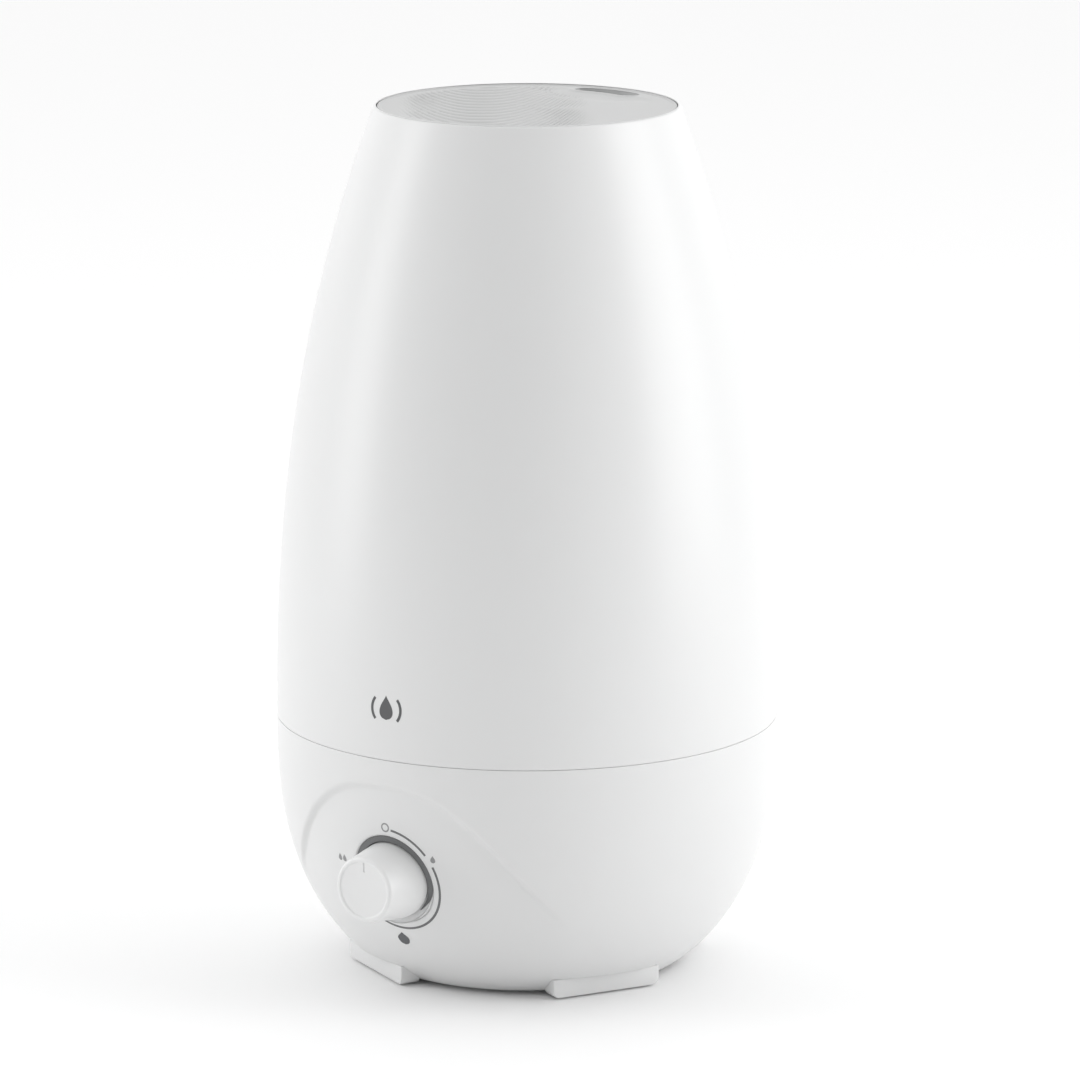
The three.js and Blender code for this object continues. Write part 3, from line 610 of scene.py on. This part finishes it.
def feet():
    """Four straight-faced feet moulded under the housing."""
    half = FOOT_LENGTH / 2
    outline = rounded([
        (-half, FOOT_BOTTOM_Z, 2.4), (half, FOOT_BOTTOM_Z, 2.4),
        (half, FOOT_TOP_Z, 0.5), (-half, FOOT_TOP_Z, 0.5),
    ], 6)
    count = len(outline)
    corners = [(x, y, z) for y in (-FOOT_FACE, -FOOT_BACK) for x, z in outline]
    sides = [(i, (i + 1) % count, count + (i + 1) % count, count + i) for i in range(count)]
    ends = [tuple(range(count)), tuple(range(2 * count - 1, count - 1, -1))]
    for i in range(4):
        foot = make_piece(f"foot_{i + 1}", turned_by(np.array(corners), FOOT_AZIMUTH + 90 * i), sides + ends)
        bevel_edges(foot, 0.6, 60)
        dress(foot, "base", "white_shell")


# ---------------------------------------------------------------- tank

SEAM_LIP = 0.2             # a lip under the tank's edge fills this much of the seam
SEAM_LIP_INSET = 0.16


def tank():
    bottom = TANK_LOW[2]
    outer = [(float(body_radius(z)), z) for z in np.linspace(bottom + 0.9, SHOULDER_Z, 110)]
    under = LEDGE_Z - LEDGE_T
    rim = rounded([
        (*outer[-1], 0), (SHOULDER_R - 0.75, RIM_TOP_Z, 1.1), (MOUTH_R, RIM_TOP_Z, 0.35),
        (MOUTH_R, LEDGE_Z, 0), (LEDGE_R, LEDGE_Z, 0.3), (LEDGE_R, under, 0.2), (51.0, under, 0),
    ])[1:]
    inner = [(float(body_radius(z)) - WALL * 1.02, z) for z in np.linspace(LEDGE_Z - 3.2, bottom + 1.4, 40)]
    lip_r = WIDEST_R - SEAM_LIP_INSET
    foot = rounded([
        (*inner[-1], 0), (79.5, bottom + 1.2, 0), (79.5, bottom - SEAM_LIP, 0.1),
        (lip_r, bottom - SEAM_LIP, 0.05), (lip_r, bottom, 0), (WIDEST_R, bottom, 0.1), (*outer[0], 0),
    ])[1:-1]
    shell = revolved("tank_wall", outer + rim + inner + foot, 256)
    dress(shell, "tank", "white_shell", stands_for=["tank_shell"])


# ---------------------------------------------------------------- top cover

RIB_HEIGHT = 1.15          # relief of the cover's curved ribs
RIB_SPACING = 6.7          # from one rib to the next along the pattern's axis
RIB_BEND = 0.08            # how strongly they are bent
RIB_AXIS_OFFSET = -15.0    # where across the cover the ribs have their bend
RIB_AZIMUTH = 34.0         # the side of the cover that the ribs bulge towards
GRID = 0.42                # spacing of the cover's fine surface grid
SURFACE_DROP = 0.3         # the face lies this much below the cover's top
LIP_HEIGHT = 0.42          # the raised edge on the inner side of the slot
DISH_DEPTH = 0.4           # the shallow dish in front of it


def azimuth_point(radius, azimuth):
    """A point in the plane by its radius and its degrees from the front."""
    angle = np.radians(azimuth)
    return np.stack([radius * np.sin(angle), -radius * np.cos(angle)], -1)


def outlet_distance(points):
    """Distance in the plane from the slot's outline, negative inside it."""
    along = points @ azimuth_point(1.0, OUTLET_AZIMUTH)
    side = points @ azimuth_point(1.0, OUTLET_AZIMUTH - 90)
    radius = np.hypot(along, side)
    angle = np.degrees(np.arctan2(side, along))
    half = OUTLET_HALF_ANGLE - math.degrees(OUTLET_DEPTH / 2 / OUTLET_R)
    over = np.radians(np.maximum(np.abs(angle) - half, 0)) * OUTLET_R
    return np.hypot(radius - OUTLET_R, over) - OUTLET_DEPTH / 2


def rib_height(points):
    """Curved ribs that follow each other across the cover and fade out towards the outlet and the edge."""
    across = points @ azimuth_point(1.0, RIB_AZIMUTH + 90)
    back = points @ azimuth_point(1.0, RIB_AZIMUTH + 180)
    lean = 2 * RIB_BEND * (across - RIB_AXIS_OFFSET)
    phase = (back - RIB_BEND * (across - RIB_AXIS_OFFSET) ** 2) / RIB_SPACING
    rib = np.abs(np.sin(np.pi * phase)) ** 0.8 / np.hypot(1, lean) ** 0.5
    sides = smooth_step((across + 45) / 10) * smooth_step((25 - across) / 15)
    edge = smooth_step((COVER_R - 3.0 - np.hypot(points[:, 0], points[:, 1])) / 3)
    outlet = smooth_step((outlet_distance(points) - 6) / 5)
    return RIB_HEIGHT * (rib - 0.57) * sides * edge * outlet


def cover_height(points):
    """Height of the cover's face over its nominal top."""
    gap = outlet_distance(points)
    inward = smooth_step((OUTLET_R - np.hypot(points[:, 0], points[:, 1])) / 4 + 0.3)
    lip = LIP_HEIGHT * np.exp(-((gap - 1.2) / 1.3) ** 2) * inward
    dish = -DISH_DEPTH * np.exp(-((gap - 9.0) / 6.0) ** 2) * inward
    return rib_height(points) - SURFACE_DROP + lip + dish


def top_cover():
    """The cover's disc: a fine polar grid on top, a rounded rim and the plug that enters the tank."""
    face_r = COVER_R - 0.6
    under = COVER_TOP_Z - COVER_T
    columns = 640
    angles = np.linspace(0, 360, columns, endpoint=False)
    rows = []
    for radius in np.linspace(0, face_r, int(face_r / GRID))[1:]:
        flat = azimuth_point(radius, angles)
        at_edge = radius > face_r - 0.5
        height = np.full(columns, -0.05) if at_edge else cover_height(flat)
        rows.append(np.column_stack([flat, COVER_TOP_Z + height]))
    rim = rounded([
        (face_r - 0.2, COVER_TOP_Z, 0), (COVER_R, COVER_TOP_Z, 0.5), (COVER_R - 0.2, LEDGE_Z + 1.4, 0.2),
        (46.4, LEDGE_Z + 1.4, 0), (46.4, COVER_LOW[2], 0.4), (44.0, COVER_LOW[2], 0.4),
        (44.0, under, 0), (0, under, 0),
    ])[1:-1]
    for radius, z in rim:
        rows.append(ring_of_points(radius, angles, z))
    faces = ring_faces(len(rows), columns, False)
    centre_height = float(cover_height(np.zeros((1, 2)))[0])
    vertices = np.concatenate([*rows, [[0, 0, COVER_TOP_Z + centre_height], [0, 0, under]]])
    top, low = len(vertices) - 2, len(vertices) - 1
    last = (len(rows) - 1) * columns
    for column in range(columns):
        after = (column + 1) % columns
        faces.append((top, after, column))
        faces.append((low, last + column, last + after))
    return make_piece("cover_disc", vertices, faces, math.radians(60))


# ---------------------------------------------------------------- mist outlet

OUTLET_WALL = 1.0


def passage_outline(blend, z, margin, count=72):
    """Outline of the mist passage: a circle over the duct that becomes the slot as blend goes to 1."""
    angle = np.linspace(0, 2 * np.pi, count, endpoint=False)
    reach = DUCT_BORE_R + margin
    circle = np.stack([reach * np.cos(angle), DUCT_Y + reach * np.sin(angle)], -1)
    across = np.sign(np.cos(angle)) * np.abs(np.cos(angle)) ** 0.6
    along = np.sign(np.sin(angle)) * np.abs(np.sin(angle)) ** 0.6
    radius = OUTLET_R + (OUTLET_DEPTH / 2 + margin) * along
    sweep = OUTLET_HALF_ANGLE + math.degrees(margin / OUTLET_R)
    turn = np.radians(OUTLET_AZIMUTH - sweep * across)
    slot = np.stack([radius * np.sin(turn), -radius * np.cos(turn)], -1)
    flat = circle * (1 - blend) + slot * blend
    return np.column_stack([flat, np.full(count, z)])


def passage_levels(bottom, top):
    """(blend, height) pairs from the bottom to the top of the passage."""
    bend = [(0.12, 283.4), (0.35, 285.8), (0.7, 287.4), (1, 288.7)]
    return [(0, bottom), (0, PASSAGE_BOTTOM_Z), *bend, (1, top)]


def loft(name, outlines):
    """A solid through outlines that lie one above the other."""
    count = len(outlines[0])
    vertices = np.concatenate([*outlines, [outlines[0].mean(0)], [outlines[-1].mean(0)]])
    faces = ring_faces(len(outlines), count, False)
    low, high = len(vertices) - 2, len(vertices) - 1
    last = (len(outlines) - 1) * count
    for i in range(count):
        after = (i + 1) % count
        faces.append((low, after, i))
        faces.append((high, last + i, last + after))
    return make_piece(name, vertices, faces)


def mist_outlet():
    inner = [passage_outline(blend, z, 0) for blend, z in passage_levels(279.0, 295.0)]
    levels = passage_levels(PASSAGE_BOTTOM_Z, COVER_TOP_Z - 0.5)[1:]
    outer = [passage_outline(blend, z, OUTLET_WALL) for blend, z in levels]
    outer[0][:, 2] += 0.1      # keeps the bottom face off the bore's own ring of points
    nozzle = loft("outlet_nozzle", outer)
    cut_away(nozzle, loft("outlet_bore", inner))
    dress(nozzle, "lid", "outlet_plastic", stands_for=["mist_outlet"])


def finish_cover():
    cover = top_cover()
    levels = passage_levels(279.0, COVER_TOP_Z - 0.45)
    wall = [passage_outline(blend, z, OUTLET_WALL + 0.05) for blend, z in levels]
    mouth = [passage_outline(1, z, 0.05) for z in (COVER_TOP_Z - 0.6, 295.0)]
    cut_away(cover, loft("passage_cutter", wall))
    cut_away(cover, loft("mouth_cutter", mouth))
    dress(cover, "lid", "cover_plastic", stands_for=["top_cover"])


# ---------------------------------------------------------------- knob

HUB_R = 4.8                # the hub that sits on the shaft
SKIRT_INNER_R = 10.0
RIM_INNER_R = 9.2          # the ring round the knob's slightly sunken face
# Radii of the dark ring of painted shade round the knob.
SHADOW_RING_OUTER_R = 15.42
SHADOW_RING_INNER_R = 13.45


def knob():
    length = WELL_FLOOR_Y - KNOB_FACE_Y
    face = [(0, length - 0.55), (3, length - 0.54), (6, length - 0.46), (8, length - 0.36)]
    cap = rounded([
        (0, length - 0.36, 0), (RIM_INNER_R, length - 0.32, 0.5), (RIM_INNER_R + 0.5, length, 0.25),
        (KNOB_FACE_R, length, 1.0), (KNOB_BASE_R, 3.5, 3.0), (KNOB_BASE_R, 0.9, 0.4),
        (SKIRT_INNER_R, 0.9, 0.3), (SKIRT_INNER_R, 15.5, 0.5),
        (HUB_R, 15.5, 0.5), (HUB_R, 3.6, 0.2), (0, 3.6, 0),
    ], 6)[1:]
    piece = revolved("knob_cap", face + cap, 128, "front", (0, WELL_FLOOR_Y, KNOB_Z))
    low = (-0.45, KNOB_FACE_Y - 2, KNOB_Z + 5.9)
    high = (0.45, KNOB_FACE_Y + 0.75, KNOB_Z + 9.3)
    cut_away(piece, rounded_block("pointer_cutter", low, high, 0.3))
    dress(piece, "knob", "knob_plastic", stands_for=["control_knob"])


def knob_painted_shadow_ring():
    """A dark ring of painted shade that stands in for the shadow in the gap round the knob, a little below
    the housing's surface. It gets narrower towards the bottom, where that painted shadow fades and the
    housing leaves the knob's base free."""
    angles = np.linspace(0, 2 * np.pi, 120, endpoint=False)
    from_top = np.abs(np.degrees((angles + np.pi) % (2 * np.pi) - np.pi))
    outer = SHADOW_RING_OUTER_R - 1.82 * smooth_step((from_top - 92) / 52)
    inner = np.full(len(angles), SHADOW_RING_INNER_R)
    front = WELL_FLOOR_Y - 0.3 + 0.5 * smooth_step((from_top - 122) / 24)
    rows = []
    for radius, set_back in ((outer, 1.0), (outer, 0.5), (inner, 0.5), (inner, 1.0)):
        ring = surface_at(radius * np.sin(angles), KNOB_Z + radius * np.cos(angles), -set_back)
        ring[:, 1] = np.minimum(ring[:, 1], front + 0.8 * (set_back - 0.5))
        rows.append(ring)
    for above in (rows[-1], rows[0]):
        foot = above.copy()
        foot[:, 1] = WELL_FLOOR_Y + 0.8
        rows.append(foot)
    piece = make_piece("knob_painted_shadow_ring", np.concatenate(rows), ring_faces(len(rows), len(angles), True))
    dress(piece, "base", "painted_gap_shade")


# ---------------------------------------------------------------- printed marks

PRINT_LIFT = 0.05          # how far a mark stands over the surface
PRINT_T = 0.12
DIAL_R = 18.0              # the arcs round the knob


def printed(name, loops, body, material="print", depth=PRINT_T, lift=PRINT_LIFT):
    """A thin printed mark that follows the front surface. Each loop is a strip given by its two
    long edges, as lists of (x, z) points seen from the front."""
    vertices, faces = [], []
    for left_edge, right_edge in loops:
        count = len(left_edge)
        first = len(vertices)
        for height in (lift, lift - depth):
            for edge in (left_edge, right_edge):
                edge = np.array(edge, float)
                vertices.extend(surface_at(edge[:, 0], edge[:, 1], height))
        top_l, top_r, low_l, low_r = [first + count * k for k in range(4)]
        for i in range(count - 1):
            faces.append((top_l + i, top_r + i, top_r + i + 1, top_l + i + 1))
            faces.append((low_l + i, low_l + i + 1, low_r + i + 1, low_r + i))
            faces.append((top_l + i, top_l + i + 1, low_l + i + 1, low_l + i))
            faces.append((top_r + i, low_r + i, low_r + i + 1, top_r + i + 1))
        if np.allclose(left_edge[0], left_edge[-1]):     # a full ring has no ends
            continue
        end = count - 1
        faces.append((top_l, low_l, low_r, top_r))
        faces.append((top_l + end, top_r + end, low_r + end, low_l + end))
    piece = make_piece(name, np.array(vertices), faces)
    dress(piece, body, material)
    return piece


def arc_strip(centre, radius, width, start, end, step=3.0):
    """Two edges of an arc, by degrees clockwise from the top."""
    count = max(2, int(abs(end - start) / step) + 1)
    angles = np.radians(np.linspace(start, end, count))
    edges = []
    for r in (radius - width / 2, radius + width / 2):
        edges.append([(centre[0] + r * math.sin(a), centre[1] + r * math.cos(a)) for a in angles])
    return edges


def drop_strip(centre, width, height):
    """A filled drop, as the strip between its left and right outline."""
    half = width / 2
    left, right = [], []
    tip = height - half
    for t in np.linspace(0, 1, 17):
        z = tip - t * height
        if z < 0:
            reach = math.sqrt(max(half ** 2 - z ** 2, 1e-4))
        else:
            share = 1 - z / tip
            reach = half * math.sin(share * math.pi / 2) ** 1.25 + 1e-3
        left.append((centre[0] - reach, centre[1] + z))
        right.append((centre[0] + reach, centre[1] + z))
    return left, right


def dial_point(radius, degrees):
    """A point round the knob's axis, by degrees clockwise from the top, as seen from the front."""
    angle = math.radians(degrees)
    return radius * math.sin(angle), KNOB_Z + radius * math.cos(angle)


def dial_marks():
    """Two arcs, a ring for off, one drop for low mist and two drops for high mist."""
    centre = (0.0, KNOB_Z)
    printed("dial_arcs", [
        arc_strip(centre, DIAL_R, 0.75, 7, 54),
        arc_strip(centre, DIAL_R, 0.75, 68, 266),
    ], "base", "dial_print")
    off = dial_point(DIAL_R + 0.6, 0)
    printed("off_mark", [arc_strip(off, 1.35, 0.5, 0, 360, 15)], "base", "pale_print")
    low = dial_point(DIAL_R + 1.6, 61)
    printed("low_mark", [drop_strip((low[0], low[1] - 0.4), 1.7, 2.6)], "base", "pale_print")
    high = dial_point(DIAL_R + 3.2, 281)
    printed("high_mark", [
        drop_strip((high[0] - 1.6, high[1] - 0.4), 1.7, 2.6),
        drop_strip((high[0] + 0.6, high[1] - 0.4), 1.7, 2.6),
    ], "base", "pale_print")


def tank_mark():
    """A plain drop between two arcs, low on the front of the tank."""
    x, z = 2.2, 101.9
    printed("tank_drop_mark", [
        drop_strip((x, z - 1.6), 5.2, 8.2),
        arc_strip((x, z - 0.6), 5.6, 0.95, 50, 130, 5),
        arc_strip((x, z - 0.6), 5.6, 0.95, 230, 310, 5),
    ], "tank")


def lens():
    """The dark window of the indicator light, below the dial."""
    outline = drop_strip((-1.3, LENS_Z - 0.2), 4.6, 4.8)
    piece = printed("lens_drop", [outline], "base", "dark_lens", depth=1.2, lift=0.1)
    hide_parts("indicator_lens")


# ---------------------------------------------------------------- valve spring

def valve_spring():
    """A compression spring with closer end turns."""
    middle = (SPRING_LOW + SPRING_HIGH) / 2
    helix_r = (SPRING_HIGH[0] - SPRING_LOW[0]) / 2 - SPRING_WIRE_R
    low = SPRING_LOW[2] + SPRING_WIRE_R
    high = SPRING_HIGH[2] - SPRING_WIRE_R
    t = np.linspace(0, 1, 40 * SPRING_TURNS + 1)
    z = low + (high - low) * (t - 0.5 * np.sin(2 * np.pi * t) / (2 * np.pi))
    turn = 2 * np.pi * SPRING_TURNS * t
    around = np.linspace(0, 2 * np.pi, 12, endpoint=False)
    count = len(around)
    reach = helix_r + SPRING_WIRE_R * np.cos(around)[None, :]
    x = middle[0] + reach * np.cos(turn)[:, None]
    y = middle[1] + reach * np.sin(turn)[:, None]
    height = z[:, None] + SPRING_WIRE_R * np.sin(around)[None, :]
    vertices = np.stack([x, y, height], -1).reshape(-1, 3)
    last = len(vertices) - count
    ends = [tuple(range(count))[::-1], tuple(range(last, last + count))]
    piece = make_piece("spring_coil", vertices, ring_faces(len(t), count, False) + ends)
    dress(piece, "tank", "steel", stands_for=["valve_spring"])
    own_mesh(piece)


# ---------------------------------------------------------------- studio

# Metres, degrees from the front of the object, and radians for the camera's pitch.
CAMERA_DISTANCE = 2.071
CAMERA_HEIGHT = 0.5912
CAMERA_AZIMUTH = 34.6
CAMERA_PITCH = 0.2132
CAMERA_LENS = 208.67
CAMERA_SHIFT = 0.012
FLOOR_HALF = 12.0
SURROUND_BACK = 1.2
SURROUND_FRONT = 0.52
PANEL_DISTANCE = 1.5
PANEL_HEIGHT = 0.6
PANEL_TALL = 1.8
# Each soft box: its name, degrees from the camera's side, width and power.
SOFT_BOXES = [
    ("left_panel", -90, 0.55, 7.0),
    ("right_panel", 80, 1.0, 13.0),
]


def studio():
    camera()
    floor()
    soft_surround()
    for name, turn, width, power in SOFT_BOXES:
        panel_light(name, CAMERA_AZIMUTH + turn, width, power)
    bpy.context.scene.view_settings.view_transform = "Standard"


def camera():
    angle = math.radians(CAMERA_AZIMUTH)
    data = bpy.data.cameras.new("camera")
    data.lens = CAMERA_LENS
    data.sensor_width = 36.0
    data.shift_x = CAMERA_SHIFT
    data.clip_end = 30.0
    viewer = bpy.data.objects.new("camera", data)
    viewer.location = (CAMERA_DISTANCE * math.sin(angle), -CAMERA_DISTANCE * math.cos(angle), CAMERA_HEIGHT)
    viewer.rotation_euler = (math.pi / 2 - CAMERA_PITCH, 0, angle)
    bpy.context.scene.collection.objects.link(viewer)
    bpy.context.scene.camera = viewer


def floor():
    corners = [(-1, -1), (1, -1), (1, 1), (-1, 1)]
    mesh = bpy.data.meshes.new("floor")
    mesh.from_pydata([(FLOOR_HALF * x, FLOOR_HALF * y, FLOOR_Z * MM) for x, y in corners], [], [(0, 1, 2, 3)])
    ground = bpy.data.objects.new("floor", mesh)
    bpy.context.scene.collection.objects.link(ground)
    material, _, _, shader = new_material("floor")
    shader.inputs["Base Color"].default_value = (0.95, 0.95, 0.95, 1)
    shader.inputs["Roughness"].default_value = 0.9
    shader.inputs["Specular IOR Level"].default_value = 0.1
    mesh.materials.append(material)


def soft_surround():
    """A plain white surround that is dimmer on the side the camera stands on."""
    world = bpy.data.worlds.new("studio")
    world.use_nodes = True
    nodes, links = world.node_tree.nodes, world.node_tree.links
    place = nodes.new("ShaderNodeTexCoord")
    towards = nodes.new("ShaderNodeVectorMath")
    towards.operation = "DOT_PRODUCT"
    angle = math.radians(CAMERA_AZIMUTH)
    towards.inputs[1].default_value = (math.sin(angle), -math.cos(angle), 0)
    links.new(place.outputs["Generated"], towards.inputs[0])
    level = nodes.new("ShaderNodeMapRange")
    level.interpolation_type = "SMOOTHSTEP"
    level.inputs["From Min"].default_value = -0.2
    level.inputs["From Max"].default_value = 0.8
    level.inputs["To Min"].default_value = SURROUND_BACK
    level.inputs["To Max"].default_value = SURROUND_FRONT
    links.new(towards.outputs["Value"], level.inputs["Value"])
    links.new(level.outputs["Result"], nodes["Background"].inputs["Strength"])
    nodes["Background"].inputs["Color"].default_value = (1, 1, 1, 1)
    bpy.context.scene.world = world


def panel_light(name, azimuth, width, power):
    """An upright soft box that faces the object."""
    data = bpy.data.lights.new(name, "AREA")
    data.shape = "RECTANGLE"
    data.size = width
    data.size_y = PANEL_TALL
    data.energy = power
    light = bpy.data.objects.new(name, data)
    angle = math.radians(azimuth)
    light.location = (PANEL_DISTANCE * math.sin(angle), -PANEL_DISTANCE * math.cos(angle), PANEL_HEIGHT)
    light.rotation_euler = (math.pi / 2, 0, angle)
    bpy.context.scene.collection.objects.link(light)


# ---------------------------------------------------------------- build

studio()
dress_cad_nodes()
base_housing()
feet()
tank()
finish_cover()
mist_outlet()
knob()
knob_painted_shadow_ring()
dial_marks()
tank_mark()
lens()
valve_spring()
